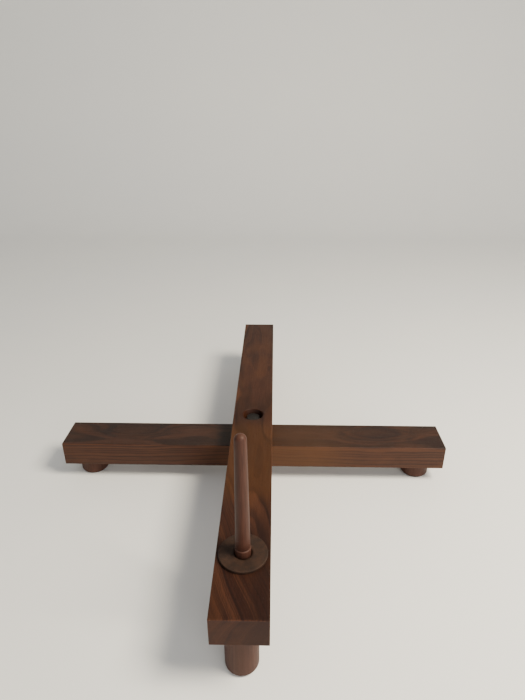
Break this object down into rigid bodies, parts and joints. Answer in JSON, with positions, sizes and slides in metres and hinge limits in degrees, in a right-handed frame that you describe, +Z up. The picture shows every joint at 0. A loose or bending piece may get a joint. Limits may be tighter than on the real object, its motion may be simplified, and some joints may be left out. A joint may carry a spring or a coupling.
{
  "type": "recorder stand",
  "caption": "Folding wooden cross stand that holds a wind instrument upright on a peg; the lower bar swings under the upper one about a clamped pivot bolt.",
  "frame": {"origin": "on the floor, under the pivot bolt, in the middle of both bars", "axes": "+Z up; +Y along the long bar towards its back end; the peg stands on the -Y arm, which is the front; +X along the open crossbar to the right"},
  "size_m": [0.394, 0.476, 0.173],
  "materials": {
    "walnut": "oiled satin, dark brown with darker growth lines",
    "dowel_wood": "turned and oiled, smooth reddish brown",
    "felt": "dark brown pressed felt",
    "leather": "dark brown, matte",
    "fibre": "dark pressed fibre, matte",
    "black_steel": "blackened, satin",
    "brass": "turned and knurled, lightly aged"
  },
  "bodies": {
    "base": {"long_bar": "walnut", "front_leg": "dowel_wood", "back_leg": "dowel_wood", "front_pad": "felt", "back_pad": "felt", "pivot_bolt": "black_steel", "bolt_washer": "black_steel", "bell_ring": "leather"},
    "swing_bar": {"crossbar": "walnut", "left_foot": "dowel_wood", "right_foot": "dowel_wood", "left_pad": "felt", "right_pad": "felt", "friction_disc": "fibre"},
    "peg": {"instrument_peg": "dowel_wood"},
    "washers": {"lower_washer": "black_steel", "spring_washer": "black_steel"},
    "nut": {"clamp_nut": "brass"}
  },
  "joints": [
    {"name": "crossbar_swing", "type": "hinge", "parent": "base", "child": "swing_bar", "pos_m": [0, 0, 0.0303], "axis": [0, 0, 1], "continuous": true},
    {"name": "peg_lift", "type": "slide", "parent": "base", "child": "peg", "axis": [0, 0, 1], "range_m": [0, 0.02]},
    {"name": "washer_drop", "type": "slide", "parent": "base", "child": "washers", "axis": [0, 0, -1], "range_m": [0, 0.003]},
    {"name": "clamp_nut_turn", "type": "hinge", "parent": "washers", "child": "nut", "pos_m": [0, 0, 0.0095], "axis": [0, 0, -1], "range_deg": [0, 720]}
  ],
  "couplings": [
    {"joint": "washer_drop", "follows": "clamp_nut_turn", "m_per_rad": 0.00019894}
  ]
}
